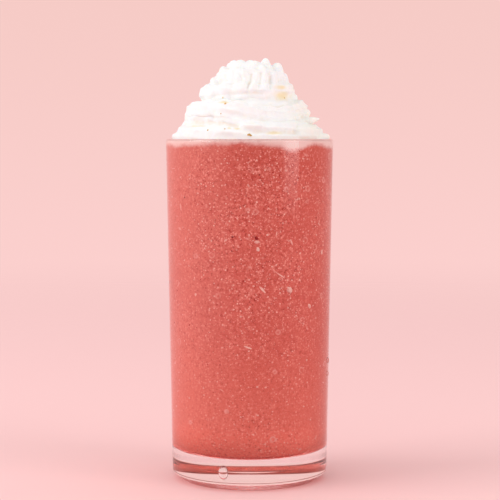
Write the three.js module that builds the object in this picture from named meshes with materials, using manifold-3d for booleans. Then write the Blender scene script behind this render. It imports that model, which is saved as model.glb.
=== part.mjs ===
// A strawberry smoothie in a tall clear tumbler, topped with a piped swirl of whipped cream.
// Millimetres, +Z up. The origin is on the table, under the middle of the glass, and -Y is the front.
import * as THREE from 'three';
import { mergeVertices } from 'three/addons/utils/BufferGeometryUtils.js';
import Module from 'manifold-3d';

const wasm = await Module();
wasm.setup();

// The tumbler: a wall that flares a little to the rim, on a thick base with a bevelled heel.
const GLASS_HEIGHT = 145;
const RIM_RADIUS = 35.5;
const FOOT_RADIUS = 33; // the outer wall's line carried down to the table
const WALL_AT_RIM = 2;
const WALL_AT_FLOOR = 2.6;
const FLOOR_HEIGHT = 12.2; // top of the thick base
const FLOOR_FILLET = 12;
const RING_RADIUS = 28; // outer edge of the ring that the glass stands on
const HEEL_ANGLE = 35; // the bevel from that ring up to the wall, in degrees from the table
const HEEL_ROUNDS = [0.8, 2]; // rounding below and above the bevel
const PUNT_RADIUS = 24.6; // the shallow recess in the underside
const PUNT_EDGE = 1; // width of the step from the recess down to the ring
const PUNT_DEPTH = 1.6;
const PUNT_DOME = 0.3;
const ROUND_SIDES = 60;

// The drink fills the glass to a wavy line just below the rim.
const GAP = 0.3;
const DRINK_BELOW_RIM = 2.1;
const DIPS = [
  // where the line sags below its usual level: degrees from the front towards +X, depth, spread in degrees
  { at: 30, depth: 2.1, spread: 9 },
  { at: 84, depth: 1.8, spread: 12 },
  { at: -62, depth: 0.8, spread: 16 },
  { at: 150, depth: 1.6, spread: 20 },
  { at: -140, depth: 1.2, spread: 24 },
];

// The cream is a fluted rope from a star nozzle, wound upwards and inwards, with most of its climb at the back.
const CREAM_COILS = [
  // a row for each coil as it passes the front: outer radius, height above the rim, shift towards +X
  [32.0, -8.0, 0],
  [33.0, -3.0, 0],
  [33.3, 1.0, 0],
  [29.0, 5.4, -0.4],
  [26.9, 12.6, -0.8],
  [20.8, 19.6, -0.9],
  [15.6, 25.8, 0.7],
  [12.6, 31.0, 2.0],
  [5.0, 33.5, 2.2],
];
const FIRST_TURN = 1.5; // turns are counted from the first row, and the skin starts and ends at the back
const LAST_TURN = 7.1;
const LEVELLING = 1.1; // 0 climbs evenly, and 1 holds the rope level at the front and climbs at the back
const SAGS = [
  // where a coil hangs lower: its turn, the drop, and its reach as a share of a turn
  { turn: 3.07, drop: 2.6, reach: 0.08 },
  { turn: 4.07, drop: 3.0, reach: 0.08 },
];
const CREASE_DEPTH = 1.5; // how far the crease between two coils lies inside the narrower one
const FULLNESS = 0.6; // below 1, a coil's side is fuller than a half round
const FLUTES_SHOWN = 3; // ridges on the side of a coil that shows
const FLUTE_DEPTH = 0.35;
const FLUTE_TWIST = 0.37; // flutes that pass to the next coil in each turn
const RUFFLES_A_TURN = 10.6; // small folds across the rope, deeper towards the top
const RUFFLE_DEPTH = [0.15, 1.1]; // at the first turn, and at the last
const RINGS_A_TURN = 44;
const SECTION_STEPS = 12;

// The last folds stand up as small peaks.
const PEAKS = [
  // place to the right of the glass's middle and behind it, tip above the rim, radius of the foot
  [-6.6, -1.5, 33.4, 3.6],
  [-1.5, 4.5, 33.0, 4.0],
  [0.6, -3.5, 34.0, 3.6],
  [7.4, -1.0, 34.7, 3.2],
  [12.1, 0.5, 32.6, 3.4],
  [7.0, 6.5, 32.8, 4.0],
];
const PEAK_FOOT = 27; // height above the rim
const PEAK_SIDES = 12;

const rad = THREE.MathUtils.degToRad;

// Radius of the glass's outer and inner wall at a height.
const outerRadius = (z) => THREE.MathUtils.mapLinear(z, 0, GLASS_HEIGHT, FOOT_RADIUS, RIM_RADIUS);
const wallAt = (z) => THREE.MathUtils.mapLinear(z, FLOOR_HEIGHT, GLASS_HEIGHT, WALL_AT_FLOOR, WALL_AT_RIM);
const innerRadius = (z) => outerRadius(z) - wallAt(z);

// Points of an arc round (x, z), from one angle to another in degrees.
function arc(x, z, radius, from, to, steps) {
  const curve = new THREE.EllipseCurve(x, z, radius, radius, rad(from), rad(to), to < from);
  return curve.getPoints(steps);
}

// Turns an outline of (radius, height) points round the Z axis.
function turned(outline, sides = ROUND_SIDES) {
  return new THREE.LatheGeometry(outline, sides).rotateX(Math.PI / 2);
}

// A closed solid from a mesh whose corners are shared, for cutting and joining.
function solidOf(geometry) {
  const bare = geometry.clone();
  bare.deleteAttribute('normal');
  bare.deleteAttribute('uv');
  const merged = mergeVertices(bare, 1e-4);
  const corners = merged.index.array;
  const kept = [];
  for (let i = 0; i < corners.length; i += 3) {
    const [a, b, c] = corners.slice(i, i + 3);
    if (a !== b && b !== c && c !== a) kept.push(a, b, c);
  }
  return new wasm.Manifold(new wasm.Mesh({
    numProp: 3,
    vertProperties: new Float32Array(merged.attributes.position.array),
    triVerts: new Uint32Array(kept),
  }));
}

function geometryOf(solid) {
  const mesh = solid.getMesh();
  const geometry = new THREE.BufferGeometry();
  geometry.setAttribute('position', new THREE.BufferAttribute(mesh.vertProperties, 3));
  geometry.setIndex(new THREE.BufferAttribute(mesh.triVerts, 1));
  geometry.computeVertexNormals();
  return geometry;
}

// Outline of the space inside the glass, from the middle of the floor up the wall to a height.
function boreOutline(inset, top) {
  const floor = FLOOR_HEIGHT + inset;
  const fillet = FLOOR_FILLET - inset;
  const filletTop = floor + fillet;
  const wall = innerRadius(filletTop) - inset;
  return [
    new THREE.Vector2(0, floor),
    ...arc(wall - fillet, filletTop, fillet, -90, 0, 6),
    new THREE.Vector2(innerRadius(top) - inset, top),
  ];
}

// Outline of the underside, from the middle of its domed recess down to the ring.
function underside() {
  const points = [];
  for (const share of [0, 0.25, 0.5, 0.75]) {
    points.push(new THREE.Vector2(share * PUNT_RADIUS, PUNT_DEPTH + PUNT_DOME * (1 - share ** 2)));
  }
  for (const share of [0, 0.25, 0.5, 0.75, 1]) {
    const height = (PUNT_DEPTH * (1 + Math.cos(Math.PI * share))) / 2;
    points.push(new THREE.Vector2(PUNT_RADIUS + share * PUNT_EDGE, height));
  }
  return points;
}

// Outline from the ring up the bevel to the wall.
function heel() {
  const [low, high] = HEEL_ROUNDS;
  const wall = outerRadius(high) - high;
  const run = wall + high * Math.sin(rad(HEEL_ANGLE)) - RING_RADIUS - low * Math.sin(rad(HEEL_ANGLE));
  const rise = low * (1 - Math.cos(rad(HEEL_ANGLE))) + run * Math.tan(rad(HEEL_ANGLE));
  const shoulder = rise + high * Math.cos(rad(HEEL_ANGLE));
  return [
    ...arc(RING_RADIUS, low, low, -90, HEEL_ANGLE - 90, 2),
    ...arc(wall, shoulder, high, HEEL_ANGLE - 90, 0, 4),
  ];
}

function glass() {
  const lip = WALL_AT_RIM / 2;
  const rim = arc(outerRadius(GLASS_HEIGHT - lip) - lip, GLASS_HEIGHT - lip, lip, 0, 180, 6);
  const bore = boreOutline(0, GLASS_HEIGHT - lip).reverse();
  return turned([...underside(), ...heel(), ...rim, ...bore.slice(1)]);
}

// Height of the drink at the wall, for an angle round the glass.
function drinkLevel(angle) {
  let level = GLASS_HEIGHT - DRINK_BELOW_RIM;
  for (const dip of DIPS) {
    const away = THREE.MathUtils.euclideanModulo(angle - rad(dip.at) + Math.PI, 2 * Math.PI) - Math.PI;
    level -= dip.depth * Math.exp(-0.5 * (away / rad(dip.spread)) ** 2);
  }
  return level;
}

// Moves the points at one height to the drink's wavy line, raised by so much.
function makeWavy(geometry, height, raise) {
  const points = geometry.attributes.position;
  for (let i = 0; i < points.count; i++) {
    if (Math.abs(points.getZ(i) - height) > 1e-3) continue;
    const [x, y] = [points.getX(i), points.getY(i)];
    const level = Math.hypot(x, y) > 1 ? drinkLevel(Math.atan2(x, -y)) : GLASS_HEIGHT - DRINK_BELOW_RIM;
    points.setZ(i, level + raise);
  }
  return geometry;
}

function drink() {
  const top = GLASS_HEIGHT - DRINK_BELOW_RIM;
  return makeWavy(turned([...boreOutline(GAP, top), new THREE.Vector2(0, top)]), top, 0);
}

// The room that the cream may take: inside the wall, and freely upwards.
function creamRoom() {
  const bottom = GLASS_HEIGHT - DRINK_BELOW_RIM;
  const radius = innerRadius(GLASS_HEIGHT) - GAP;
  const top = GLASS_HEIGHT + 60;
  const outline = [[0, bottom], [radius, bottom], [radius, top], [0, top]];
  return makeWavy(turned(outline.map(([x, z]) => new THREE.Vector2(x, z))), bottom, GAP);
}

// The cream inside the glass, under the coils.
function creamPlug() {
  const outline = [[0, -8], [RIM_RADIUS, -8], [RIM_RADIUS, -0.6], [RIM_RADIUS - 6, 1.6], [0, 1.6]];
  return turned(outline.map(([x, z]) => new THREE.Vector2(x, z + GLASS_HEIGHT)));
}

const coilRows = new THREE.CubicInterpolant(CREAM_COILS.map((row, i) => i), CREAM_COILS.flat(), 3);

// Outer radius, height above the rim and sideways shift of the rope after so many turns.
function coilAt(turn) {
  const [radius, height, shift] = coilRows.evaluate(turn - (LEVELLING * Math.sin(2 * Math.PI * turn)) / (2 * Math.PI));
  let sag = 0;
  for (const { turn: middle, drop, reach } of SAGS) sag += drop * Math.exp(-0.5 * ((turn - middle) / reach) ** 2);
  return { radius, height: height - sag, shift };
}

// The crease between a coil and the one above it, as radius and height.
function creaseAt(turn) {
  const [lower, upper] = [coilAt(turn), coilAt(turn + 1)];
  const radius = Math.min(lower.radius, upper.radius) - CREASE_DEPTH;
  return new THREE.Vector2(Math.max(radius, 0.5), (lower.height + upper.height) / 2);
}

// Turns a radius and a height above the rim into the point where the rope is after so many turns.
function placed(turn, radius, height) {
  const angle = 2 * Math.PI * turn;
  const shift = coilAt(turn).shift;
  return new THREE.Vector3(shift + radius * Math.sin(angle), -radius * Math.cos(angle), GLASS_HEIGHT + height);
}

// The side of a coil that shows, from the crease below it up to the crease above.
function coilSide(turn) {
  const coil = coilAt(turn);
  const [low, high] = [creaseAt(turn - 1), creaseAt(turn)];
  const middle = low.clone().lerp(high, 0.5);
  const swell = new THREE.Vector2(coil.radius, coil.height).sub(middle);
  const outward = new THREE.Vector2(high.y - low.y, low.x - high.x).normalize();
  const climbed = THREE.MathUtils.inverseLerp(FIRST_TURN, LAST_TURN, turn);
  const ruffle = THREE.MathUtils.lerp(...RUFFLE_DEPTH, climbed) * Math.sin(2 * Math.PI * RUFFLES_A_TURN * turn);
  const lump = 0.35 * Math.sin(2 * Math.PI * 2.3 * turn + 1) + 0.25 * Math.sin(2 * Math.PI * 5.2 * turn);
  const side = [];
  for (let step = 0; step < SECTION_STEPS; step++) {
    const share = step / SECTION_STEPS;
    const round = Math.sin(Math.PI * share) ** FULLNESS;
    const flute = FLUTE_DEPTH * Math.cos(2 * Math.PI * (FLUTES_SHOWN * share + FLUTE_TWIST * turn));
    const point = low.clone().lerp(high, share).addScaledVector(swell, round);
    point.addScaledVector(outward, round * (flute + ruffle + lump));
    side.push(placed(turn, point.x, point.y));
  }
  return side;
}

// All coils as one skin, in which each coil's upper edge is the next one's lower edge.
function creamCoils() {
  const rings = Math.round((LAST_TURN - FIRST_TURN) * RINGS_A_TURN);
  const turnOf = (ring) => FIRST_TURN + ring / RINGS_A_TURN;
  const points = [];
  for (let ring = 0; ring <= rings; ring++) points.push(...coilSide(turnOf(ring)));

  // The last coil's upper edge, where no coil follows.
  const edge = points.length;
  const lastRow = rings - RINGS_A_TURN + 1;
  for (let ring = lastRow; ring <= rings; ring++) {
    const crease = creaseAt(turnOf(ring));
    points.push(placed(turnOf(ring), crease.x, crease.y));
  }
  const cornerAt = (ring, step) => {
    if (step < SECTION_STEPS) return ring * SECTION_STEPS + step;
    return ring < lastRow ? (ring + RINGS_A_TURN) * SECTION_STEPS : edge + ring - lastRow;
  };
  const corners = [];
  for (let ring = 0; ring < rings; ring++) {
    for (let step = 0; step < SECTION_STEPS; step++) {
      const [a, b] = [cornerAt(ring, step), cornerAt(ring + 1, step)];
      const [c, d] = [cornerAt(ring + 1, step + 1), cornerAt(ring, step + 1)];
      corners.push(a, b, c, a, c, d);
    }
  }

  // Fans close the skin at both ends: along the free edge of one turn, and across the rope's cut end.
  const edgeRound = (from, step, cutAt) => {
    const loop = [];
    for (let ring = from; ring < from + RINGS_A_TURN; ring++) loop.push(cornerAt(ring, step));
    for (let i = SECTION_STEPS; i > 0; i--) loop.push(cornerAt(cutAt, i));
    return loop;
  };
  const bottom = points.push(new THREE.Vector3(0, 0, GLASS_HEIGHT - 9)) - 1;
  const top = points.push(placed(LAST_TURN, 0, coilAt(LAST_TURN).height + 1)) - 1;
  const lowerLoop = edgeRound(0, 0, 0);
  const upperLoop = edgeRound(rings - RINGS_A_TURN, SECTION_STEPS, rings);
  lowerLoop.forEach((corner, i) => corners.push(bottom, lowerLoop[(i + 1) % lowerLoop.length], corner));
  upperLoop.forEach((corner, i) => corners.push(top, corner, upperLoop[(i + 1) % upperLoop.length]));
  return new THREE.BufferGeometry().setFromPoints(points).setIndex(corners);
}

// A small peak of cream with a rounded tip.
function creamPeak([x, y, tip, foot]) {
  const height = tip - PEAK_FOOT;
  const outline = [[0, 0], [foot, 0], [foot, 0.4], [0.75 * foot, 0.72], [0.35 * foot, 0.93], [0, 1]];
  const peak = turned(outline.map(([radius, share]) => new THREE.Vector2(radius, share * height)), PEAK_SIDES);
  return peak.translate(x, y, GLASS_HEIGHT + PEAK_FOOT);
}

function cream() {
  const solids = [creamCoils(), creamPlug(), ...PEAKS.map(creamPeak)].map(solidOf);
  return geometryOf(wasm.Manifold.union(solids).intersect(solidOf(creamRoom())));
}

function piece(name, geometry, material) {
  const mesh = new THREE.Mesh(geometry, material);
  mesh.name = name;
  return mesh;
}

const clearGlass = new THREE.MeshStandardMaterial({
  color: 0xf3f5f4, roughness: 0.03, metalness: 0, transparent: true, opacity: 0.3,
});
const strawberryDrink = new THREE.MeshStandardMaterial({ color: 0xd76a5d, roughness: 0.45, metalness: 0 });
const whippedCream = new THREE.MeshStandardMaterial({ color: 0xfbf8f2, roughness: 0.6, metalness: 0 });

const smoothie = new THREE.Group();
smoothie.add(piece('glass', geometryOf(solidOf(glass())), clearGlass));
smoothie.add(piece('smoothie', geometryOf(solidOf(drink())), strawberryDrink));
smoothie.add(piece('whipped_cream', cream(), whippedCream));

export default smoothie;
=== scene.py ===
"""A strawberry smoothie in a tall clear tumbler, with a piped swirl of whipped cream on top.

Lengths are millimetres while a shape is worked out, and metres in the meshes. The front is -Y.
"""

import math

import bmesh
import bpy
import numpy as np
from mathutils import Matrix, Vector, noise


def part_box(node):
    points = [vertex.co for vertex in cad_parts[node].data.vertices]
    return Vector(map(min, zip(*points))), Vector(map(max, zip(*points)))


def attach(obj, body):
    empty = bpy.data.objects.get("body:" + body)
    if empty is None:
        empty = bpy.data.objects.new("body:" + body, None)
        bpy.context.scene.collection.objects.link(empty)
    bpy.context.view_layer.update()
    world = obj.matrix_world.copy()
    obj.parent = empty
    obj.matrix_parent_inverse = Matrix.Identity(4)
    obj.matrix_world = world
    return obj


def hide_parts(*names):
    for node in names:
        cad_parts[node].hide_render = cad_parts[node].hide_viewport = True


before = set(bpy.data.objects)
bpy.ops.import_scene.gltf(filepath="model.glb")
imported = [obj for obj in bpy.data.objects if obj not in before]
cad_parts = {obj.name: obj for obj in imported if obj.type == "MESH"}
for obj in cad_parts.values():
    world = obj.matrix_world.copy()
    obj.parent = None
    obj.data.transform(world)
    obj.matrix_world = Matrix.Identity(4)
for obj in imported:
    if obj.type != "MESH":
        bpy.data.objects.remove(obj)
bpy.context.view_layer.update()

MM = 0.001
BODY = "root"

# The tumbler, its rim read from the frame.
GLASS_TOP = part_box("glass")[1] / MM
GLASS_HEIGHT = GLASS_TOP.z
RIM_RADIUS = GLASS_TOP.x
FOOT_RADIUS = RIM_RADIUS - 2.5
WALL_AT_RIM = 2.0
WALL_AT_FLOOR = 2.6
FLOOR_HEIGHT = 12.2
FLOOR_FILLET = 12.0
RING_RADIUS = 28.0
HEEL_ANGLE = 35
HEEL_ROUNDS = (0.8, 2.0)
PUNT_RADIUS = 24.6
PUNT_EDGE = 1.0
PUNT_DEPTH = 1.6
PUNT_DOME = 0.3
MOULD_LINE = 8.3
MOULD_SEAM = ((-0.35, 0.0), (-0.1, 0.012), (0.1, 0.012), (0.35, 0.0))
ROUND_SIDES = 192

# The drink and the cream reach into the wall, so that no air gap shows between them and the glass.
REACH = 0.15
DRINK_BELOW_RIM = 2.1
DIPS_FADE_OVER = 12
MELT_BELOW_RIM = 1.1
MELT_EDGE = 0.5
MELT_CROWN = 1.2
DIPS = (
    # degrees from the front towards +X, depth, spread in degrees
    (30, 2.1, 9),
    (84, 1.8, 12),
    (-62, 0.8, 16),
    (150, 1.6, 20),
    (-140, 1.2, 24),
)
CREAM_RUNS = (
    # in the same way, where cream tints the drink further down
    (-52, 0.3, 9),
    (-33, 0.4, 6),
    (20, 0.4, 8),
    (37, 0.7, 6),
    (66, 0.9, 8),
)

# The coils of cream: outer radius, height above the rim and shift towards +X as each passes the front.
CREAM_COILS = (
    (32.0, -8.0, 0.0),
    (33.0, -3.0, 0.0),
    (31.8, 1.0, 0.0),
    (28.6, 5.4, -0.4),
    (26.9, 12.6, -0.8),
    (20.8, 19.6, -0.9),
    (15.6, 25.8, 0.7),
    (12.0, 29.6, 2.0),
    (5.0, 30.4, 2.2),
)
FIRST_TURN = 1.5
LAST_TURN = 7.1
LEVELLING = 1.1
SAGS = (
    # turn, drop and spread in turns
    (3.07, 2.6, 0.08),
    (3.27, 2.2, 0.07),
    (3.75, 1.2, 0.1),
    (4.07, 3.0, 0.08),
    (4.5, 0.8, 0.3),
)
ROPE_RADIUS = (5.4, 3.0)
RUFFLE_ROOM = 0.9
PATH_POINTS = 700
ROPE_POINTS = 1500
SECTION_POINTS = 72
ROPE_VALUES = {
    "Flutes": 9.0,
    "Flute depth": 0.12,
    "Twist": 9.0,
    "Ruffles": 97.0,
    "Ruffle depth": 0.4 * MM,
    "Lump size": 110.0,
    "Lump depth": 2.4 * MM,
}

# The heap inside the coils.
CORE_BELOW_RIM = 1.2
CORE_FROM_WALL = 0.4
CORE_INSET = 4.0
CORE_SINK = 0.5

# Peaks and folds of cream, and their outline as shares of radius and height.
PEAK_OUTLINE = ((0, 0), (1, 0), (1, 0.4), (0.78, 0.7), (0.4, 0.92), (0, 1))
PEAKS = (
    # foot to the right, to the back and above the rim, tip in the same way, radius of the foot
    ((-5.6, -1.5, 25), (-6.8, -1.5, 33.6), 3.6),
    ((-8.4, -1.0, 24), (-11.9, -1.5, 30.6), 3.0),
    ((-1.5, 4.5, 25), (-1.5, 4.5, 32.4), 4.2),
    ((0.2, -3.5, 25), (0.4, -3.5, 33.6), 3.7),
    ((6.2, -1.0, 25), (7.0, -1.0, 34.4), 3.0),
    ((10.4, 0.5, 25), (12.4, 0.5, 32.4), 3.4),
    ((7.0, 6.5, 25), (7.0, 6.5, 32.2), 4.2),
    ((-6.0, -12.4, 20.4), (-4.6, -9.4, 30.2), 3.6),
    ((-1.0, -13.6, 19.4), (1.2, -9.8, 30.4), 3.2),
    ((4.2, -13.8, 20.2), (5.4, -9.4, 31.4), 3.0),
    ((9.0, -11.6, 20.0), (8.8, -7.8, 30.0), 3.0),
    ((-11.0, -2.0, 20), (-16.2, -2.5, 26.0), 3.4),
    ((-13.0, -3.0, 17), (-18.8, -3.5, 23.0), 3.2),
    ((11.5, 0.0, 20), (15.4, -0.5, 27.8), 3.4),
    ((13.5, -1.0, 15), (20.4, -1.5, 18.2), 3.2),
    ((18.0, -2.0, 9.5), (26.0, -2.5, 11.4), 3.4),
    ((22.0, -8.0, 7.6), (29.8, -8.5, 8.4), 1.5),
    ((24.0, -12.0, -2.0), (33.8, -4.5, 1.3), 3.2),
    ((-24.0, -13.0, -0.5), (-32.6, -6.0, 1.2), 3.0),
)

# The cream's surface, once its parts have been made one.
CREAM_VOXEL = 0.41
SOFTENING_STEPS = 3
HOLLOW_STEPS = 14
RELIEF_VALUES = {
    "Fold size": 240.0,
    "Fold depth": 1.1 * MM,
    "Crumple size": 900.0,
    "Crumple depth": 0.3 * MM,
}

# Ridges and grooves on the front of the cream: rise, half width, and points across and above the rim.
MARKS = (
    (1.2, 1.4, ((-27, 8.8), (-18.5, 9.6), (-10, 8.8), (-4.7, 7.2), (-1.9, 5.8), (12.3, 5.8), (25.6, 7.9))),
    (-1.4, 1.2, ((-27, 6.6), (-18.5, 7.4), (-10, 6.8), (-4.2, 5.0), (-1, 3.5), (8.1, 3.0), (19.4, 3.3))),
    (-1.3, 3.4, ((6.5, 10.9), (14.4, 11.2), (22, 11.6))),
    (0.6, 0.9, ((1, 14.2), (10.2, 14.9), (20.6, 14.7))),
    (-0.9, 0.9, ((-14.4, 18), (-5.6, 18.2), (0.6, 19.3), (4.8, 18.7))),
    (0.4, 0.8, ((-16, 16.6), (-4, 16.6), (6, 16.9))),
    (-0.6, 0.7, ((-16.9, 15.3), (-6.5, 15.7))),
    (-0.4, 0.7, ((-17.7, 13.2), (-4.4, 13.6))),
    (0.8, 0.9, ((-2.9, 28.2), (-1.9, 24.8), (-2.7, 20.8))),
    (0.9, 0.9, ((3.1, 26.5), (1.5, 22.5), (0.2, 19.8))),
    (0.6, 0.9, ((6.3, 28.5), (6.6, 21.6))),
    (0.6, 0.9, ((10.2, 27.5), (10.2, 22))),
    (-0.8, 0.8, ((-0.4, 28.5), (0.6, 24.2), (-0.8, 20.6))),
    (-0.9, 0.7, ((4.8, 27.5), (3.9, 21.6))),
    (-0.7, 0.7, ((8.4, 28), (8.6, 21.2))),
    (-0.5, 0.9, ((-6, 29), (-7, 21.6))),
    (-1.0, 1.2, ((1, 27.3), (1.2, 26.6))),
    (-1.1, 2.4, ((11.6, 18.8), (15.5, 18.6))),
    (-0.7, 0.7, ((19.6, 5.6), (18.8, 3.2), (20.5, 1.2))),
    (0.7, 3.4, ((23.5, 3.4), (24, 3))),
)

# Golden painted shade, where light comes warm through thin cream in hollows: centre across and above the rim,
# half width, half height.
WARM_SHADE_PATCHES = (
    (13.4, 18.0, 3.4, 1.7),
    (12.8, 21.6, 2.4, 0.9),
    (-21.5, 5.6, 3.2, 0.5),
    (-5.2, 4.9, 1.3, 0.5),
    (10.0, 3.2, 2.8, 0.5),
    (-8.2, 4.6, 0.9, 0.5),
    (-10.5, 15.4, 2.2, 0.6),
)

# Crumbs on the cream: place across and above the rim, radius, stretch across, turn in degrees.
CRUMBS = (
    (-0.45, 1.75, 0.42, 1.7, -35),
    (0.5, 1.55, 0.42, 1.6, 30),
    (-11.1, 17.1, 0.3, 1.3, 10),
    (-10.0, 14.5, 0.32, 1.4, -20),
    (-11.7, 10.4, 0.26, 1.0, 0),
    (-17.1, 3.6, 0.34, 1.2, 20),
    (-10.0, 4.1, 0.28, 1.3, 0),
    (14.6, 17.2, 0.3, 1.2, 40),
)

# Larger pits and flakes in the front of the drink, in the same way but with heights above the table.
PITS = (
    (2.8, 104.9, 0.62, 1.3, 10),
    (-6.7, 105.3, 0.42, 1.1, 0),
    (-7.1, 99.6, 0.32, 1.2, 20),
    (-3.3, 104.1, 0.26, 1.0, 0),
    (4.0, 130.6, 0.3, 1.0, 0),
    (-26.0, 121.0, 0.3, 1.3, 40),
)
FLAKES = (
    (3.0, 103.3, 0.6, 1.9, -8),
    (-9.4, 104.1, 0.5, 1.5, -25),
    (-4.5, 101.3, 0.36, 1.3, 30),
    (7.1, 106.2, 0.38, 1.1, 0),
    (3.4, 100.4, 0.6, 1.5, 70),
    (16.0, 83.4, 1.1, 1.3, 60),
    (-21.6, 81.0, 0.5, 1.2, 80),
    (16.8, 103.1, 0.3, 5.0, 66),
    (12.1, 89.8, 0.28, 9.0, 34),
    (5.0, 84.0, 0.4, 4.0, 50),
    (-0.5, 60.0, 0.3, 6.0, 20),
    (24.0, 76.0, 0.8, 1.2, 50),
    (29.0, 98.0, 0.7, 1.6, 80),
    (-27.6, 117.0, 0.5, 3.0, 75),
    (-28.0, 108.0, 0.5, 2.0, 20),
)

# Pebbles are flattened by these factors and roughened by noise of this scale and depth.
FLAKE_FLATNESS = 0.25
CRUMB_FLATNESS = 0.8
PEBBLE_NOISE = (1800, 0.5)

# Grains all over the drink's side, which are fewer below a height above the table.
GRAINS = (
    # name, grains for each square centimetre, smallest and largest radius, stretch, flatness, seed
    ("pale_specks", 5.4, 0.16, 0.42, 1.4, 0.5, 4),
    ("pale_dust", 24.0, 0.1, 0.2, 1.2, 0.5, 5),
    ("dark_pores", 1.1, 0.14, 0.36, 1.2, 0.3, 6),
    ("pale_fibres", 0.1, 0.12, 0.2, 6.0, 0.5, 7),
)
GRAINS_FEWER_BELOW = 110
SQUARE_CM_IN_SQUARE_M = 1e4

# Water drops, whose middles stand a little off the glass.
DROPS = (
    # degrees from the front, height, half width, half thickness, half height
    (-18.9, 8.2, 2.1, 1.0, 2.9),
    (77.5, 51.4, 1.0, 0.5, 1.3),
    (77.5, 45.8, 0.9, 0.5, 1.1),
)
DROPS_OFF_GLASS = 0.1

# The view of the photograph, which is 500 pixels wide and high.
CAMERA_PLACE = (0.2, -702.0, 146.0)
CAMERA_PITCH = 3.93
FOCAL_PIXELS = 1650.0
PHOTO_WIDTH = 500
SENSOR_WIDTH = 36.0

# Lights, in metres: place, size and radiance.
LIT_MIDDLE = (0, 0, 0.09)
KEY_LIGHT = ((-1.35, -0.4, 0.8), (1.0, 1.0), 2.9)
FILL_LIGHT = ((1.0, -0.8, 0.7), (0.9, 0.9), 0.5)
STRIP_LIGHT = ((1.0, -0.68, 0.5), (0.62, 0.96), 2.7)
STRIP_MIDDLE = (0, 0, 0.5)

# The pale studio's brightness, and what is added to it from the left and from above.
STUDIO_LEVEL = 0.68
STUDIO_LEFT = 0.15
STUDIO_ABOVE = 0.08

# The floor's radius and where it fades out, in metres.
FLOOR_RADIUS = 2.0
FLOOR_FADE = (0.3, 1.3)

# Refraction of clear glass and of water, and of the drink as seen from inside the glass.
GLASS_IOR = 1.5
WATER_IOR = 1.333
DRINK_IN_GLASS = 0.96


# Colours

def tint(red, green, blue):
    """Turns a colour of 0 to 255 as seen on a screen into the linear colour that shaders use."""
    linear = [((c / 255 + 0.055) / 1.055) ** 2.4 if c > 10.3 else c / 3294.6 for c in (red, green, blue)]
    return (*linear, 1.0)


BACKDROP_HIGH = tint(246, 203, 198)
BACKDROP_LOW = tint(252, 208, 206)
FLOOR_PINK = tint(255, 209, 208)

# Spots and rings that bubbles draw in the foam.
BUBBLE_CELLS = 210
BUBBLE_RADIUS = 0.24
FOAM_SPOTS = (
    # cells for each metre, reach of a spot in its cell, share of plain cells, strength and colour
    (1100, 0.4, 0.7, 0.9, tint(255, 186, 174)),
    (640, 0.28, 0.7, 1.0, tint(255, 212, 200)),
    (800, 0.26, 0.86, 0.7, tint(150, 26, 20)),
)

SPECKS = {
    # darker and lighter colour, roughness and shine
    "pale_specks": (tint(238, 152, 140), tint(250, 196, 184), 0.3, 0.3),
    "pale_dust": (tint(232, 138, 126), tint(244, 172, 160), 0.4, 0.3),
    "dark_pores": (tint(176, 6, 3), tint(202, 32, 24), 0.5, 0.0),
    "pale_fibres": (tint(236, 146, 134), tint(248, 190, 176), 0.4, 0.3),
    "deep_pit": (tint(132, 0, 0), tint(164, 0, 0), 0.6, 0.0),
    "fruit_flake": (tint(240, 160, 148), tint(252, 206, 194), 0.4, 0.3),
    "golden_crumb": (tint(196, 152, 74), tint(236, 204, 136), 0.5, 0.3),
}


# Node trees

MIX_FACTOR, MIX_A, MIX_B, MIX_RESULT = 0, 6, 7, 2


class Socket:
    """An output socket in a node tree. Python's operators on it add Math nodes."""

    def __init__(self, tree, socket):
        self.tree = tree
        self.socket = socket

    def math(self, operation, *values):
        return self.tree.node("ShaderNodeMath", {"operation": operation}, dict(enumerate(values)))

    def __add__(self, other):
        return self.math("ADD", self, other)

    def __sub__(self, other):
        return self.math("SUBTRACT", self, other)

    def __rsub__(self, other):
        return self.math("SUBTRACT", other, self)

    def __mul__(self, other):
        return self.math("MULTIPLY", self, other)

    def __truediv__(self, other):
        return self.math("DIVIDE", self, other)

    def __rtruediv__(self, other):
        return self.math("DIVIDE", other, self)

    def __pow__(self, other):
        return self.math("POWER", self, other)

    def __rpow__(self, other):
        return self.math("POWER", other, self)

    __radd__ = __add__
    __rmul__ = __mul__

    def absolute(self):
        return self.math("ABSOLUTE", self)

    def sine(self):
        return self.math("SINE", self)

    def ramp(self, low, high):
        """0 below low, 1 above high, and a smooth step between; high may be the smaller one."""
        settings = {"interpolation_type": "SMOOTHSTEP", "clamp": True}
        inputs = {"Value": self, "From Min": low, "From Max": high}
        return self.tree.node("ShaderNodeMapRange", settings, inputs)

    def ease(self, low, high, least):
        """A ramp from a least value, instead of 0, to 1."""
        return self.ramp(low, high) * (1 - least) + least


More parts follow.
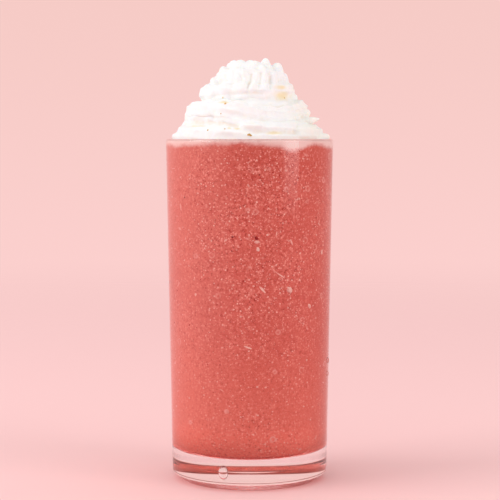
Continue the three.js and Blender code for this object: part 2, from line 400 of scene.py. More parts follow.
class Tree:
    """A node tree that is built by calls, for a material, the world, a light or a Geometry Nodes modifier."""

    def __init__(self, node_tree):
        self.data = node_tree
        self.data.nodes.clear()

    def node(self, kind, settings=None, inputs=None, output=0):
        """Adds a node with its settings, then its inputs as values or links, and returns one output."""
        made = self.data.nodes.new(kind)
        for name, value in (settings or {}).items():
            setattr(made, name, value)
        for name, value in (inputs or {}).items():
            if isinstance(value, Socket):
                self.data.links.new(value.socket, made.inputs[name])
            else:
                made.inputs[name].default_value = value
        return Socket(self, made.outputs[output]) if made.outputs else None

    def mix(self, factor, first, second):
        inputs = {MIX_FACTOR: factor, MIX_A: first, MIX_B: second}
        return self.node("ShaderNodeMix", {"data_type": "RGBA"}, inputs, MIX_RESULT)

    def noise(self, scale, detail=2.0, roughness=0.5, place=None, distortion=0.0):
        """Noise of 0 to 1 with a scale in features for each metre."""
        inputs = {"Scale": scale, "Detail": detail, "Roughness": roughness, "Distortion": distortion}
        if place is not None:
            inputs["Vector"] = place
        return self.node("ShaderNodeTexNoise", None, inputs)

    def scaled(self, vector, factor):
        inputs = {0: vector, "Scale": factor}
        return self.node("ShaderNodeVectorMath", {"operation": "SCALE"}, inputs, "Vector")

    def random(self, low, high, seed):
        """A random number for each point or instance of a Geometry Nodes tree."""
        inputs = {2: low, 3: high, "Seed": seed}
        return self.node("FunctionNodeRandomValue", {"data_type": "FLOAT"}, inputs, 1)

    def xyz(self, vector):
        return [self.node("ShaderNodeSeparateXYZ", None, {"Vector": vector}, axis) for axis in "XYZ"]


class Material(Tree):
    """A material, with the place on the object in metres as a socket."""

    def __init__(self, name):
        self.material = bpy.data.materials.new(name)
        self.material.use_nodes = True
        super().__init__(self.material.node_tree)
        self.place = self.node("ShaderNodeTexCoord", None, None, "Object")

    def attribute(self, name):
        return self.node("ShaderNodeAttribute", {"attribute_name": name}, None, "Fac")

    def cells(self, scale, output="Distance"):
        """Scattered cells, as the distance to the nearest middle or as a colour for each cell."""
        return self.node("ShaderNodeTexVoronoi", None, {"Scale": scale, "Vector": self.place}, output)

    def bump(self, height, distance, strength=1.0):
        """A bump whose height of 1 stands for a distance in millimetres."""
        inputs = {"Height": height, "Distance": distance * MM, "Strength": strength}
        return self.node("ShaderNodeBump", None, inputs, "Normal")

    def finish(self, shader):
        self.node("ShaderNodeOutputMaterial", None, {"Surface": shader})
        return self.material

    def principled(self, **inputs):
        """The finished material from a Principled BSDF with these inputs, named with _ for a space."""
        named = {name.replace("_", " "): value for name, value in inputs.items()}
        return self.finish(self.node("ShaderNodeBsdfPrincipled", None, named, "BSDF"))


# Materials

def clear_glass():
    """Clear glass with faint smears, a little tinted in its thick floor, and greyer at its lip, where shade
    is painted for the dark line that the rim's reflections show.
    """
    look = Material("clear_glass")
    smears = look.noise(45, 3, 0.6, look.place).ramp(0.55, 0.9)
    waves = look.noise(38, 1, 0.4, look.place)
    height = look.xyz(look.place)[2] / MM
    thick = height.ramp(FLOOR_HEIGHT + 1, FLOOR_HEIGHT - 1)
    # Painted shade: the lip is drawn greyer, as its reflections darken the rim.
    lip = height.ramp(GLASS_HEIGHT - 1.0, GLASS_HEIGHT - 0.4)
    color = look.mix(smears, tint(252, 254, 253), tint(250, 253, 252))
    color = look.mix(thick, color, tint(251, 249, 249))
    return look.principled(
        Base_Color=look.mix(lip, color, tint(212, 200, 200)),
        Roughness=smears * 0.012,
        Transmission_Weight=1.0,
        IOR=GLASS_IOR,
        Normal=look.bump(waves, 0.12),
    )


def smoothie_foam():
    """The blended fruit against the wall: salmon red, full of small pale and dark grains and bubbles.

    Its attribute above_line tells how far a point lies above the line where the cream has run in.
    """
    look = Material("smoothie_foam")
    x, _, z = look.xyz(look.place)
    clouds = look.noise(55, 3, 0.55, look.place)
    curls = look.noise(430, 3, 0.65, look.place, 1.4)
    grains = look.noise(950, 2, 0.6, look.place)

    # The foam is calmer at both sides, low down and just under the cream.
    lively = x.ease(-0.034, -0.012, 0.35) * x.ease(0.028, 0.014, 0.6) * (0.7 + clouds.ramp(0.35, 0.65) * 0.5)
    lively = lively * z.ease(0.03, 0.085, 0.6) * z.ease(0.143, 0.133, 0.6)

    # Painted light and shade in its colour: paler to the left for painted light and reflection, paler low
    # down for painted light, and deeper to the right and dark red at the very bottom for painted shade.
    color = look.mix(clouds.ramp(0.3, 0.7), tint(218, 95, 81), tint(224, 104, 90))
    # Painted light and reflection: paler to the left, where a soft lamp lights and shines on the glass.
    color = look.mix(x.ramp(0.004, -0.026) * 0.6, color, tint(230, 132, 121))
    # Painted light: paler low down.
    color = look.mix(z.ramp(0.08, 0.025) * 0.45, color, tint(240, 124, 106))
    # Painted light: a brighter band low down, where the glass's rounded floor gathers light onto the drink.
    color = look.mix(z.ramp(0.030, 0.016) * 0.8, color, tint(255, 122, 103))
    # Painted shade: dark red at the very bottom, where the drink faces down away from the light.
    color = look.mix(z.ramp(0.0146, 0.0132) * 0.7, color, tint(196, 58, 52))
    # Painted shade at the top towards the right, where the lamps light the drink more strongly.
    color = look.mix(z.ramp(0.116, 0.136) * x.ramp(-0.016, -0.002) * 0.45, color, tint(205, 74, 58))
    # Painted shade at the right edge, against the pale reflection of the glass there.
    color = look.mix(x.ramp(0.022, 0.03) * 0.35, color, tint(214, 84, 62))

    # Curls, grains, spots and rings stand out from it.
    color = look.mix(curls.ramp(0.5, 0.75) * lively * 0.45, color, tint(246, 148, 136))
    color = look.mix(curls.ramp(0.48, 0.28) * lively * 0.55, color, tint(192, 50, 40))
    color = look.mix(grains.ramp(0.54, 0.7) * lively * 0.75, color, tint(250, 168, 156))
    color = look.mix(grains.ramp(0.44, 0.28) * lively * 0.75, color, tint(178, 38, 30))
    for scale, reach, share, strength, spot in FOAM_SPOTS:
        chosen = look.xyz(look.cells(scale, "Color"))[0].ramp(share, share + 0.05)
        near = look.cells(scale).ramp(reach, reach * 0.4)
        color = look.mix(near * chosen * lively * strength, color, spot)
    ring = (look.cells(BUBBLE_CELLS) - BUBBLE_RADIUS).absolute().ramp(0.09, 0.02)
    chosen = look.xyz(look.cells(BUBBLE_CELLS, "Color"))[1].ramp(0.86, 0.9)
    color = look.mix(ring * chosen * curls.ramp(0.35, 0.55) * 0.6, color, tint(244, 176, 166))

    # Cream runs in from above.
    runs = look.noise(170, 3, 0.6, look.place)
    creamy = (look.attribute("above_line") + (runs - 0.5) * 2.6 + (curls - 0.5) * 1.4).ramp(-1.15, 1.8)
    color = look.mix(creamy, color, tint(253, 216, 210))
    return look.principled(
        Base_Color=color,
        Roughness=0.12 + curls * 0.12,
        IOR=DRINK_IN_GLASS,
        Normal=look.bump(curls, 0.1, 0.5),
    )


def whipped_cream():
    """Soft satin cream, with warm painted shade on its right side and down in its hollows, and golden painted
    shade in a few patches.
    """
    look = Material("whipped_cream")
    x, _, _ = look.xyz(look.place)
    hollow = look.attribute("hollow")
    warm_shade = look.attribute("warm_shade")
    patches = look.noise(150, 2, 0.5, look.place)
    pores = look.noise(2200, 2, 0.6, look.place)
    color = look.mix(patches.ramp(0.35, 0.75), tint(247, 247, 245), tint(249, 250, 249))
    # Painted shade: warmer and darker on the right side, away from the key light.
    color = look.mix(x.ramp(0.01, 0.026) * 0.5, color, tint(242, 238, 226))
    # Painted shade: warmer down in the hollows.
    color = look.mix(hollow.ramp(0.05, 0.5) * 0.6, color, tint(243, 230, 214))
    # Painted shade: golden patches, where light comes warm through thin cream in hollows.
    golden = warm_shade.ramp(0.05, 0.9) * (0.3 + patches.ramp(0.35, 0.6) * 0.35)
    color = look.mix(golden, color, tint(240, 216, 150))
    return look.principled(
        Base_Color=color,
        Roughness=0.46 + pores * 0.14,
        Specular_IOR_Level=0.35,
        Subsurface_Weight=0.5,
        Subsurface_Radius=(1.0, 0.85, 0.7),
        Subsurface_Scale=0.0012,
        Normal=look.bump(pores, 0.07, 0.5),
    )


def speck_material(name):
    """For the small things in the foam and on the cream, which differ from one to the next."""
    dark, light, rough, shine = SPECKS[name]
    look = Material(name)
    shade = look.noise(420, 2, 0.5, look.place)
    fine = look.noise(2500, 2, 0.5, look.place)
    return look.principled(
        Base_Color=look.mix(shade.ramp(0.35, 0.65), dark, light),
        Roughness=rough + fine * 0.15,
        Specular_IOR_Level=shine,
        Normal=look.bump(fine, 0.05, 0.6),
    )


def water():
    """Clear water with a film that is nowhere quite even."""
    look = Material("water_drop")
    film = look.noise(300, 1, 0.5, look.place)
    return look.principled(
        Base_Color=look.mix(film, tint(250, 252, 253), tint(255, 255, 255)),
        Roughness=film * 0.01,
        Transmission_Weight=1.0,
        IOR=WATER_IOR,
    )


# Meshes

def mesh_object(name, mesh, material):
    made = bpy.data.objects.new(name, mesh)
    bpy.context.scene.collection.objects.link(made)
    made.data.materials.clear()
    made.data.materials.append(material)
    return made


def mesh_from(name, points, faces):
    """A mesh from points in millimetres, with its doubles merged and its faces pointing outwards."""
    mesh = bpy.data.meshes.new(name)
    mesh.from_pydata([tuple(MM * c for c in point) for point in points], [], faces)
    work = bmesh.new()
    work.from_mesh(mesh)
    bmesh.ops.remove_doubles(work, verts=work.verts, dist=1e-7)
    bmesh.ops.recalc_face_normals(work, faces=work.faces)
    work.to_mesh(mesh)
    work.free()
    mesh.shade_smooth()
    mesh.set_sharp_from_angle(angle=math.radians(40))
    return mesh


def turned_mesh(name, outline, sides=ROUND_SIDES, lift=None):
    """Turns an outline of (radius, height) round the Z axis. Its ends lie on the axis.

    lift, where given, takes a point's angle, radius and height and gives its new height.
    """
    points, faces = [], []
    rows = len(outline)
    for side in range(sides):
        angle = 2 * math.pi * side / sides
        for radius, height in outline:
            z = lift(angle, radius, height) if lift else height
            points.append((radius * math.sin(angle), -radius * math.cos(angle), z))
    for side in range(sides):
        here, there = side * rows, (side + 1) % sides * rows
        for row in range(rows - 1):
            corners = (here + row, there + row, there + row + 1, here + row + 1)
            if outline[row][0] == 0:
                corners = (here + row, there + row + 1, here + row + 1)
            elif outline[row + 1][0] == 0:
                corners = (here + row, there + row, here + row + 1)
            faces.append(corners)
    return mesh_from(name, points, faces)


def arc(x, z, radius, start, end, steps):
    """Points of an arc round (x, z), between two angles in degrees."""
    angles = np.radians(np.linspace(start, end, steps + 1))
    return [(x + radius * math.cos(a), z + radius * math.sin(a)) for a in angles]


def point_attribute(mesh, name, values):
    attribute = mesh.attributes.new(name, "FLOAT", "POINT")
    attribute.data.foreach_set("value", np.asarray(values, np.float32))


def vertex_rows(mesh, name):
    """The places (co) or normals (normal) of all vertices, one to a row."""
    rows = np.zeros(len(mesh.vertices) * 3)
    mesh.vertices.foreach_get(name, rows)
    return rows.reshape(-1, 3)


def points_of(mesh):
    return vertex_rows(mesh, "co") / MM


def mesh_of(work, name):
    """Ends a bmesh and returns it as a smooth mesh."""
    mesh = bpy.data.meshes.new(name)
    work.to_mesh(mesh)
    work.free()
    mesh.shade_smooth()
    return mesh


# Geometry Nodes

def geometry_tree(name, inputs):
    """Returns a Geometry Nodes tree with these inputs, each a name and a socket type, and their sockets."""
    group = bpy.data.node_groups.new(name, "GeometryNodeTree")
    group.interface.new_socket("Geometry", in_out="OUTPUT", socket_type="NodeSocketGeometry")
    for label, kind in (("Geometry", "NodeSocketGeometry"), *inputs):
        group.interface.new_socket(label, in_out="INPUT", socket_type=kind)
    tree = Tree(group)
    entry = group.nodes.new("NodeGroupInput")
    return tree, {socket.name: Socket(tree, socket) for socket in entry.outputs if socket.name}


def close_tree(tree, geometry, material):
    """Ends a tree in Realize Instances and Set Material."""
    real = tree.node("GeometryNodeRealizeInstances", None, {"Geometry": geometry})
    painted = tree.node("GeometryNodeSetMaterial", None, {"Geometry": real, "Material": material})
    tree.node("NodeGroupOutput", None, {0: painted})


def run_tree(name, source, tree, values):
    """Runs a Geometry Nodes tree on a mesh or curve and returns the result as a plain mesh object."""
    carrier = bpy.data.objects.new(name + "_carrier", source)
    bpy.context.scene.collection.objects.link(carrier)
    modifier = carrier.modifiers.new(name, "NODES")
    modifier.node_group = tree.data
    for item in tree.data.interface.items_tree:
        if item.in_out == "INPUT" and item.name in values:
            modifier[item.identifier] = values[item.name]
    depsgraph = bpy.context.evaluated_depsgraph_get()
    mesh = bpy.data.meshes.new_from_object(carrier.evaluated_get(depsgraph))
    mesh.name = name
    bpy.data.objects.remove(carrier)
    made = bpy.data.objects.new(name, mesh)
    bpy.context.scene.collection.objects.link(made)
    return made


# Glass and drink

def outer_radius(z):
    return FOOT_RADIUS + (RIM_RADIUS - FOOT_RADIUS) * z / GLASS_HEIGHT


def inner_radius(z):
    share = (z - FLOOR_HEIGHT) / (GLASS_HEIGHT - FLOOR_HEIGHT)
    return outer_radius(z) - WALL_AT_FLOOR - (WALL_AT_RIM - WALL_AT_FLOOR) * share


def bore_outline(reach, top, wall_steps):
    """Outline of the space inside the glass, from the middle of the floor up the wall, grown by reach."""
    fillet = FLOOR_FILLET + reach
    center = FLOOR_HEIGHT - reach + fillet
    wall = inner_radius(center) + reach
    heights = np.linspace(center, top, wall_steps + 1)[1:]
    return [
        (0, FLOOR_HEIGHT - reach),
        *arc(wall - fillet, center, fillet, -90, 0, 14),
        *((inner_radius(z) + reach, z) for z in heights),
    ]


def underside_outline():
    """From the middle of the domed recess down to the ring that the glass stands on."""
    dome, edge = [], []
    for share in np.linspace(0, 1, 9):
        dome.append((share * PUNT_RADIUS, PUNT_DEPTH + PUNT_DOME * (1 - share**2)))
        edge.append((PUNT_RADIUS + share * PUNT_EDGE, PUNT_DEPTH * (1 + math.cos(math.pi * share)) / 2))
    return [*dome[:-1], *edge]


def heel_outline():
    """From the ring up the bevel to the wall."""
    low, high = HEEL_ROUNDS
    slope = math.radians(HEEL_ANGLE)
    wall = outer_radius(high) - high
    run = wall + (high - low) * math.sin(slope) - RING_RADIUS
    rise = low * (1 - math.cos(slope)) + run * math.tan(slope)
    bevel_foot = arc(RING_RADIUS, low, low, -90, HEEL_ANGLE - 90, 6)
    return [*bevel_foot, *arc(wall, rise + high * math.cos(slope), high, HEEL_ANGLE - 90, 0, 10)]


def glass_outline():
    """The whole section, from the middle of the underside up the outside and down the bore."""
    lip = WALL_AT_RIM / 2
    seam = [(outer_radius(MOULD_LINE + z) + out, MOULD_LINE + z) for z, out in MOULD_SEAM]
    wall = [(outer_radius(z), z) for z in np.linspace(MOULD_LINE + 2, GLASS_HEIGHT - lip, 24)[:-1]]
    rim = arc(outer_radius(GLASS_HEIGHT - lip) - lip, GLASS_HEIGHT - lip, lip, 0, 180, 14)
    bore = bore_outline(0, GLASS_HEIGHT - lip, 20)[::-1]
    return [*underside_outline(), *heel_outline(), *seam, *wall, *rim, *bore[1:]]


def bell(angle, middle, spread):
    """A bell curve round the glass, for an angle in radians and a middle and spread in degrees."""
    away = (angle - math.radians(middle) + math.pi) % (2 * math.pi) - math.pi
    return math.exp(-0.5 * (away / math.radians(spread)) ** 2)


def drink_level(angle):
    """Height of the drink at the wall, for an angle from the front towards +X."""
    dip = sum(depth * bell(angle, at, spread) for at, depth, spread in DIPS)
    return GLASS_HEIGHT - DRINK_BELOW_RIM - dip


def make_glass():
    return mesh_object("tumbler", turned_mesh("tumbler", glass_outline()), clear_glass())


def store_line_height(mesh):
    """How far each point lies above the drink's line, and more where cream has run down."""
    heights = []
    for x, y, z in points_of(mesh):
        angle = math.atan2(x, -y)
        runs = sum(depth * bell(angle, at, spread) for at, depth, spread in CREAM_RUNS)
        heights.append(z - drink_level(angle) + runs)
    point_attribute(mesh, "above_line", heights)


def make_drink(material):
    """The drink up to its wavy line, where the melted cream begins."""
    line = GLASS_HEIGHT - DRINK_BELOW_RIM
    calm = line - DIPS_FADE_OVER

    def lift(angle, radius, height):
        if height < calm or radius < 1:
            return height
        return height + (drink_level(angle) - line) * (height - calm) / (line - calm)

    outline = [*bore_outline(REACH, line, 40), (0, line)]
    mesh = turned_mesh("smoothie_drink", outline, lift=lift)
    store_line_height(mesh)
    return mesh_object("smoothie_drink", mesh, material)


def make_melt(material):
    """The layer from the drink's line up to the rim, as wide as the bore."""
    line = GLASS_HEIGHT - DRINK_BELOW_RIM
    top = GLASS_HEIGHT - MELT_BELOW_RIM

    def lift(angle, radius, height):
        if radius < 1 or height >= top:
            return height
        return top + (height - top) * (top - drink_level(angle)) / (top - line)

    wall = [(inner_radius(z) + REACH, z) for z in np.linspace(line, top, 7)]
    shoulder = (inner_radius(GLASS_HEIGHT) - MELT_EDGE, top + MELT_EDGE)
    outline = [(0, line), *wall, shoulder, (0, top + MELT_CROWN)]
    mesh = turned_mesh("melted_cream", outline, lift=lift)
    store_line_height(mesh)
    return mesh_object("melted_cream", mesh, material)


# Cream

def coil_at(turn):
    """Outer radius, height above the rim and shift towards +X of the rope after so many turns.

    They follow a smooth curve through the rows of CREAM_COILS.
    """
    eased = turn - LEVELLING * math.sin(2 * math.pi * turn) / (2 * math.pi)
    rows = np.array(CREAM_COILS)
    last = len(rows) - 1
    place = min(max(eased, 0), last - 1e-6)
    index = int(place)
    share = place - index
    before, here, there, after = (rows[min(max(index + k, 0), last)] for k in (-1, 0, 1, 2))
    slope_here, slope_there = (there - before) / 2, (after - here) / 2
    square, cube = share**2, share**3
    row = (
        (2 * cube - 3 * square + 1) * here
        + (cube - 2 * square + share) * slope_here
        + (3 * square - 2 * cube) * there
        + (cube - square) * slope_there
    )
    sag = sum(drop * math.exp(-0.5 * ((turn - at) / spread) ** 2) for at, drop, spread in SAGS)
    return row[0], row[1] - sag, row[2]


def rope_path():
    """The rope's centre line as a curve, with its thickness as radius."""
    turns = np.linspace(FIRST_TURN, LAST_TURN, PATH_POINTS)
    curve = bpy.data.curves.new("rope_path", "CURVE")
    curve.dimensions = "3D"
    spline = curve.splines.new("POLY")
    spline.points.add(len(turns) - 1)
    for point, turn in zip(spline.points, turns):
        outer, height, shift = coil_at(turn)
        climbed = (turn - FIRST_TURN) / (LAST_TURN - FIRST_TURN)
        thick = ROPE_RADIUS[0] + (ROPE_RADIUS[1] - ROPE_RADIUS[0]) * climbed
        radius = max(outer - thick - RUFFLE_ROOM * min(climbed * 3, 1), 0.5)
        angle = 2 * math.pi * turn
        place = (shift + radius * math.sin(angle), -radius * math.cos(angle), GLASS_HEIGHT + height)
        point.co = (*(MM * c for c in place), 1)
        point.radius = thick * MM
    return curve


def rope_tree(material):
    """Sweeps a star nozzle's section along the rope's path, with ruffles that grow towards the top."""
    inputs = [(name, "NodeSocketFloat") for name in ROPE_VALUES]
    tree, given = geometry_tree("piped_rope", inputs)
    path = {"Curve": given["Geometry"], "Count": ROPE_POINTS}
    path = tree.node("GeometryNodeResampleCurve", None, path)
    along = tree.node("GeometryNodeSplineParameter", None, None, "Factor")
    store = {"data_type": "FLOAT", "domain": "POINT"}
    value = {"Geometry": path, "Name": "along", "Value": along}
    path = tree.node("GeometryNodeStoreNamedAttribute", store, value)
    path = tree.node("GeometryNodeSetCurveTilt", None, {"Curve": path, "Tilt": along * given["Twist"]})
    section = {"Resolution": SECTION_POINTS, "Radius": 1.0}
    circle = tree.node("GeometryNodeCurvePrimitiveCircle", {"mode": "RADIUS"}, section)
    around = tree.node("GeometryNodeSplineParameter", None, None, "Factor")

    # The section's radius goes in at each flute and out between them.
    groove = (around * given["Flutes"] * math.pi).sine().absolute() ** 0.7 - 0.55
    place = tree.node("GeometryNodeInputPosition")
    star = tree.node("GeometryNodeSetPosition", None, {
        "Geometry": circle,
        "Offset": tree.scaled(place, groove * given["Flute depth"] * -1.0),
    })
    radius = tree.node("GeometryNodeInputRadius")
    sweep = {"Curve": path, "Profile Curve": star, "Scale": radius, "Fill Caps": True}
    rope = tree.node("GeometryNodeCurveToMesh", None, sweep)
    climbed = tree.node("GeometryNodeInputNamedAttribute", {"data_type": "FLOAT"}, {"Name": "along"})
    wave = (climbed * given["Ruffles"] * (2 * math.pi)).sine()
    lumps = tree.noise(given["Lump size"], 2, 0.5) - 0.5
    growth = 0.1 + climbed ** 2.5
    swell = wave * growth * given["Ruffle depth"] + lumps * given["Lump depth"]
    normal = tree.node("GeometryNodeInputNormal")
    offset = tree.scaled(normal, swell)
    rope = tree.node("GeometryNodeSetPosition", None, {"Geometry": rope, "Offset": offset})
    close_tree(tree, rope, material)
    return tree


def relief_tree(material):
    """Softens and then crumples the joined cream, and stores how deep each point lies in a hollow."""
    inputs = [(name, "NodeSocketFloat") for name in RELIEF_VALUES]
    tree, given = geometry_tree("cream_relief", inputs)
    place = tree.node("GeometryNodeInputPosition")
    normal = tree.node("GeometryNodeInputNormal")
    blur = {"data_type": "FLOAT_VECTOR"}
    softened = tree.node("GeometryNodeBlurAttribute", blur, {"Value": place, "Iterations": SOFTENING_STEPS})
    soft = tree.node("GeometryNodeSetPosition", None, {"Geometry": given["Geometry"], "Position": softened})
    folds = tree.noise(given["Fold size"], 3, 0.6, None, 0.4) - 0.5
    crumples = tree.noise(given["Crumple size"], 3, 0.65) - 0.5
    rise = folds * given["Fold depth"] + crumples * given["Crumple depth"]
    offset = tree.scaled(normal, rise)
    rough = tree.node("GeometryNodeSetPosition", None, {"Geometry": soft, "Offset": offset})
    evened = tree.node("GeometryNodeBlurAttribute", blur, {"Value": place, "Iterations": HOLLOW_STEPS})
    away = tree.node("ShaderNodeVectorMath", {"operation": "SUBTRACT"}, {0: evened, 1: place}, "Vector")
    depth = tree.node("ShaderNodeVectorMath", {"operation": "DOT_PRODUCT"}, {0: away, 1: normal}, "Value")
    store = {"data_type": "FLOAT", "domain": "POINT"}
    value = {"Geometry": rough, "Name": "hollow", "Value": depth / MM}
    close_tree(tree, tree.node("GeometryNodeStoreNamedAttribute", store, value), material)
    return tree


def cream_core():
    """What fills the coils: a turned heap just inside the rope's centre line."""
    bottom = GLASS_HEIGHT - CORE_BELOW_RIM
    outline = [(0, bottom), (inner_radius(GLASS_HEIGHT) - CORE_FROM_WALL, bottom)]
    for turn in np.arange(2.0, LAST_TURN, 0.5):
        outer, height, _ = coil_at(turn)
        outline.append((max(outer - CORE_INSET, 1.0), GLASS_HEIGHT + height - CORE_SINK))
    outline.append((0, outline[-1][1]))
    return turned_mesh("cream_core", outline, 96)


def cream_peak(foot, tip, radius):
    """A peak of cream with a rounded tip, from one point to another."""
    start, end = Vector(foot), Vector(tip)
    height = (end - start).length
    outline = [(wide * radius, high * height) for wide, high in PEAK_OUTLINE]
    mesh = turned_mesh("peak", outline, 24)
    mesh.transform((end - start).to_track_quat("Z", "Y").to_matrix().to_4x4())
    mesh.transform(Matrix.Translation((start + Vector((0, 0, GLASS_HEIGHT))) * MM))
    return mesh


def joined(name, meshes):
    work = bmesh.new()
    for mesh in meshes:
        work.from_mesh(mesh)
    return mesh_of(work, name)


def distance_to_line(x, z, line):
    """Distance from each point (x, z) to a line through some points."""
    nearest = np.full(len(x), 1e9)
    for (ax, az), (bx, bz) in zip(line, line[1:]):
        along = ((x - ax) * (bx - ax) + (z - az) * (bz - az)) / ((bx - ax) ** 2 + (bz - az) ** 2)
        along = np.clip(along, 0, 1)
        nearest = np.minimum(nearest, np.hypot(x - ax - along * (bx - ax), z - az - along * (bz - az)))
    return nearest


def work_marks_in(mesh):
    """Moves the points on the front of the cream by its marks, and stores where golden painted shade goes on
    it.
    """
    places = points_of(mesh)
    normals = vertex_rows(mesh, "normal")
    across, above = places[:, 0], places[:, 2] - GLASS_HEIGHT
    # 1 where the cream faces the front, and less towards its sides.
    facing = np.clip(-1.6 * normals[:, 1] + 0.3, 0, 1) * (places[:, 1] < 0)
    rise = np.zeros(len(places))
    for height, width, line in MARKS:
        rise += height * np.exp(-((distance_to_line(across, above, line) / width) ** 2))
    places += normals * (rise * facing)[:, None]
    mesh.vertices.foreach_set("co", (places * MM).ravel())
    tinted = np.zeros(len(places))
    for x, z, wide, high in WARM_SHADE_PATCHES:
        spot = np.exp(-(((across - x) / wide) ** 2) - ((above - z) / high) ** 2)
        tinted = np.maximum(tinted, spot)
    point_attribute(mesh, "warm_shade", tinted * facing)


def make_cream():
    """Makes one surface of the rope, the core and the peaks, and works the marks and the relief into it."""
    material = whipped_cream()
    rope = run_tree("cream_rope", rope_path(), rope_tree(material), ROPE_VALUES)
    heap = joined("cream_heap", [rope.data, cream_core(), *(cream_peak(*row) for row in PEAKS)])
    bpy.data.objects.remove(rope)
    carrier = mesh_object("cream_heap", heap, material)
    remesh = carrier.modifiers.new("together", "REMESH")
    remesh.mode = "VOXEL"
    remesh.voxel_size = CREAM_VOXEL * MM
    evaluated = carrier.evaluated_get(bpy.context.evaluated_depsgraph_get())
    whole = bpy.data.meshes.new_from_object(evaluated)
    bpy.data.objects.remove(carrier)
    work_marks_in(whole)
    cream = run_tree("cream_swirl", whole, relief_tree(material), RELIEF_VALUES)
    cream.data.shade_smooth()
    return cream


# Small things in the drink and on the cream

def rough_pebble(radius, stretch, flatness, number):
    """A pebble round the origin that is flat along Y and different for each number."""
    scale, depth = PEBBLE_NOISE
    work = bmesh.new()
    bmesh.ops.create_icosphere(work, subdivisions=3, radius=radius * MM)
    for vert in work.verts:
        rough = noise.noise(vert.co * scale + Vector((number, 0, 0)))
        vert.co = Vector((vert.co.x * stretch, vert.co.y * flatness, vert.co.z)) * (1 + depth * rough)
    return mesh_of(work, "pebble")


def pebbles(name, rows, target, bottom, flatness, kind):
    """Rough pebbles that lie on the front of a target piece.

    Each row has a place across, a height above the bottom, a radius, a stretch and a turn in degrees.
    """
    bpy.context.view_layer.update()
    in_front = -2 * RIM_RADIUS
    meshes = []
    for number, (across, height, radius, stretch, turn) in enumerate(rows):
        start = Vector((across, in_front, bottom + height)) * MM
        found, place, normal, _ = target.ray_cast(start, Vector((0, 1, 0)))
        if not found:
            continue
        pebble = rough_pebble(radius, stretch, flatness, number)
        pebble.transform(Matrix.Rotation(math.radians(turn), 4, "Y"))
        pebble.transform(Matrix.Rotation(math.atan2(normal.x, -normal.y), 4, "Z"))
        pebble.transform(Matrix.Translation(place))
        meshes.append(pebble)
    return mesh_object(name, joined(name, meshes), speck_material(kind))


def scatter_tree():
    """Scatters flattened grains over the drink's side, where its noise mask allows."""
    inputs = (
        ("Density", "NodeSocketFloat"),
        ("Smallest", "NodeSocketFloat"),
        ("Largest", "NodeSocketFloat"),
        ("Stretch", "NodeSocketFloat"),
        ("Flatness", "NodeSocketFloat"),
        ("Fewer below", "NodeSocketFloat"),
        ("Seed", "NodeSocketInt"),
        ("Material", "NodeSocketMaterial"),
    )
    tree, given = geometry_tree("scattered_grains", inputs)
    place = tree.node("GeometryNodeInputPosition")
    normal = tree.node("GeometryNodeInputNormal")
    across, _, height = tree.xyz(place)
    _, _, tilt = tree.xyz(normal)
    side = tilt.absolute().ramp(0.3, 0.2)
    mask = tree.noise(55.0, 2, 0.5, place).ease(0.35, 0.6, 0.2)
    share = (height / given["Fewer below"]).ease(0.2, 1.0, 0.25)
    calm_right = across.ease(0.03, 0.014, 0.4)
    calm_left = across.ease(-0.032, -0.016, 0.5)
    density = given["Density"] * side * mask * share * calm_right * calm_left
    surface = {"Mesh": given["Geometry"], "Density": density, "Seed": given["Seed"]}
    points = tree.node("GeometryNodeDistributePointsOnFaces", None, surface, "Points")
    facing = Socket(tree, points.socket.node.outputs["Rotation"])
    grain = tree.node("GeometryNodeMeshIcoSphere", None, {"Radius": 1.0, "Subdivisions": 1}, "Mesh")
    turn = {"Axis": (0, 0, 1), "Angle": tree.random(0.0, 2 * math.pi, 2)}
    size = tree.random(given["Smallest"], given["Largest"], 3)
    sides = {"X": size * given["Stretch"], "Y": size, "Z": size * given["Flatness"]}
    scale = tree.node("ShaderNodeCombineXYZ", None, sides)
    spin = tree.node("FunctionNodeRotateRotation", {"rotation_space": "LOCAL"}, {
        "Rotation": facing,
        "Rotate By": tree.node("FunctionNodeAxisAngleToRotation", None, turn),
    })
    grains = tree.node("GeometryNodeInstanceOnPoints", None, {
        "Points": points,
        "Instance": grain,
        "Rotation": spin,
        "Scale": scale,
    })
    close_tree(tree, grains, given["Material"])
    return tree


def make_grains(drink):
    """The pale bubbles, dark pores and fibres of the foam, seen against the wall."""
    tree = scatter_tree()
    made = []
    for name, density, smallest, largest, stretch, flatness, seed in GRAINS:
        values = {
            "Density": density * SQUARE_CM_IN_SQUARE_M,
            "Smallest": smallest * MM,
            "Largest": largest * MM,
            "Stretch": stretch,
            "Flatness": flatness,
            "Fewer below": GRAINS_FEWER_BELOW * MM,
            "Seed": seed,
            "Material": speck_material(name),
        }
        grains = run_tree(name, drink.data.copy(), tree, values)
        grains.data.shade_smooth()
        made.append(grains)
    return made


# Water drops

def water_drop(name, wide, thick, high, material):
    """A rounded drop with these half sizes along X, Y and Z."""
    work = bmesh.new()
    bmesh.ops.create_uvsphere(work, u_segments=24, v_segments=12, radius=MM)
    bmesh.ops.scale(work, verts=work.verts, vec=(wide, thick, high))
    return mesh_object(name, mesh_of(work, name), material)


def make_drops():
    """Drops that sit on the outside of the glass."""
    material = water()
    made = []
    for number, (angle, z, wide, thick, high) in enumerate(DROPS, 1):
        drop = water_drop(f"water_drop_{number}", wide, thick, high, material)
        drop.data.transform(Matrix.Translation(Vector((0, -outer_radius(z) - DROPS_OFF_GLASS, z)) * MM))
        drop.data.transform(Matrix.Rotation(math.radians(angle), 4, "Z"))
        made.append(drop)
    return made


# Room, light and camera

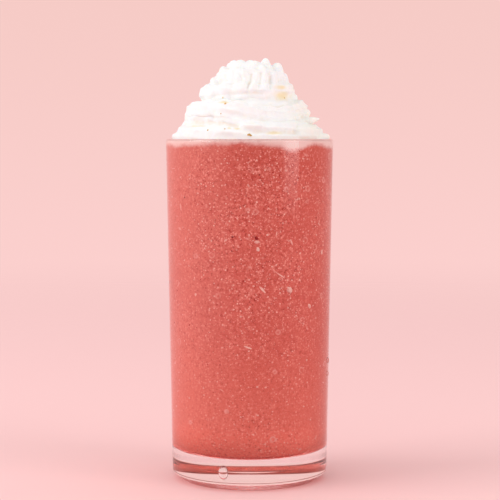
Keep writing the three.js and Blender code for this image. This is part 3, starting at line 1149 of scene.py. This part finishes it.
def make_floor():
    """A round pink floor whose edge fades into the backdrop."""
    look = Material("studio_floor")
    x, y, _ = look.xyz(look.place)
    away = (x * x + y * y) ** 0.5
    soft = look.noise(5, 1, 0.4, look.place)
    color = look.mix(soft, FLOOR_PINK, tint(255, 210, 209))
    paper = look.node("ShaderNodeBsdfDiffuse", None, {"Color": color}, "BSDF")
    clear = look.node("ShaderNodeBsdfTransparent", None, None, "BSDF")
    fade = away.ramp(*FLOOR_FADE)
    material = look.finish(look.node("ShaderNodeMixShader", None, {0: fade, 1: paper, 2: clear}))
    work = bmesh.new()
    bmesh.ops.create_circle(work, cap_ends=True, segments=96, radius=FLOOR_RADIUS)
    floor = mesh_object("studio_floor", mesh_of(work, "studio_floor"), material)


def make_world():
    """Pink backdrop for the camera, in reflections and through glass, and a pale studio to light the rest."""
    world = bpy.data.worlds.new("studio")
    bpy.context.scene.world = world
    world.use_nodes = True
    world.cycles.sampling_method = "NONE"
    tree = Tree(world.node_tree)
    direction = tree.node("ShaderNodeTexCoord", None, None, "Generated")
    x, _, z = tree.xyz(direction)
    backdrop = tree.mix(z.ramp(-0.12, 0.1), BACKDROP_LOW, BACKDROP_HIGH)
    left = (x * -1.0).ramp(-0.2, 0.9)
    above = z.ramp(0.0, 0.9)
    level = STUDIO_LEVEL + left * STUDIO_LEFT + above * STUDIO_ABOVE
    pale = tree.mix(left, tint(254, 252, 252), tint(255, 254, 254))
    bounces = tree.node("ShaderNodeLightPath", None, None, "Diffuse Depth")
    bounced = bounces.math("MINIMUM", bounces, 1.0)
    seen = tree.node("ShaderNodeBackground", None, {"Color": backdrop, "Strength": 1.0})
    around = tree.node("ShaderNodeBackground", None, {"Color": pale, "Strength": level})
    both = tree.node("ShaderNodeMixShader", None, {0: bounced, 1: seen, 2: around})
    tree.node("ShaderNodeOutputWorld", None, {"Surface": both})


def area_light(name, place, size, radiance, target=LIT_MIDDLE):
    """A soft rectangular light that the camera doesn't see."""
    light = bpy.data.lights.new(name, "AREA")
    light.shape = "RECTANGLE"
    light.size, light.size_y = size
    light.energy = math.pi * size[0] * size[1] * radiance
    made = bpy.data.objects.new(name, light)
    made.location = place
    made.rotation_euler = (Vector(target) - Vector(place)).to_track_quat("-Z", "Y").to_euler()
    made.visible_camera = False
    bpy.context.scene.collection.objects.link(made)
    return made


def make_lights():
    """Two soft lights, and a strip on the right that fades towards two of its edges."""
    area_light("key", *KEY_LIGHT)
    area_light("fill", *FILL_LIGHT)
    strip = area_light("strip", *STRIP_LIGHT, STRIP_MIDDLE)
    strip.data.use_nodes = True
    tree = Tree(strip.data.node_tree)
    spot = tree.node("ShaderNodeNewGeometry", None, None, "Parametric")
    across, up, _ = tree.xyz(spot)
    glow = across.ramp(0.0, 0.5) * (0.1 + up.ramp(0.0, 0.12) * 0.9)
    shine = tree.node("ShaderNodeEmission", None, {"Color": (1, 1, 1, 1), "Strength": glow})
    tree.node("ShaderNodeOutputLight", None, {"Surface": shine})


def make_camera():
    data = bpy.data.cameras.new("view")
    data.sensor_width = SENSOR_WIDTH
    data.lens = FOCAL_PIXELS / PHOTO_WIDTH * SENSOR_WIDTH
    data.clip_start = 0.01
    camera = bpy.data.objects.new("view", data)
    camera.location = Vector(CAMERA_PLACE) * MM
    camera.rotation_euler = (math.radians(90 - CAMERA_PITCH), 0, 0)
    bpy.context.scene.collection.objects.link(camera)
    bpy.context.scene.camera = camera


def dress(piece, slot, *nodes):
    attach(piece, BODY)
    if nodes:
        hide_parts(*nodes)


bpy.context.scene.view_settings.view_transform = "Standard"
make_camera()
make_floor()
make_world()
make_lights()

tumbler = make_glass()
tumbler.visible_shadow = False
dress(tumbler, "clear_glass", "glass")

foam = smoothie_foam()
drink = make_drink(foam)
dress(drink, "strawberry_drink", "smoothie")
for grains in make_grains(drink):
    dress(grains, "strawberry_drink")
dress(pebbles("deep_pits", PITS, drink, 0, FLAKE_FLATNESS, "deep_pit"), "strawberry_drink")
dress(pebbles("fruit_flakes", FLAKES, drink, 0, FLAKE_FLATNESS, "fruit_flake"), "strawberry_drink")
dress(make_melt(foam), "strawberry_drink")

cream = make_cream()
dress(cream, "whipped_cream", "whipped_cream")
crumbs = pebbles("golden_crumbs", CRUMBS, cream, GLASS_HEIGHT, CRUMB_FLATNESS, "golden_crumb")
dress(crumbs, "whipped_cream")

for drop in make_drops():
    drop.visible_shadow = False
    dress(drop, "clear_glass")
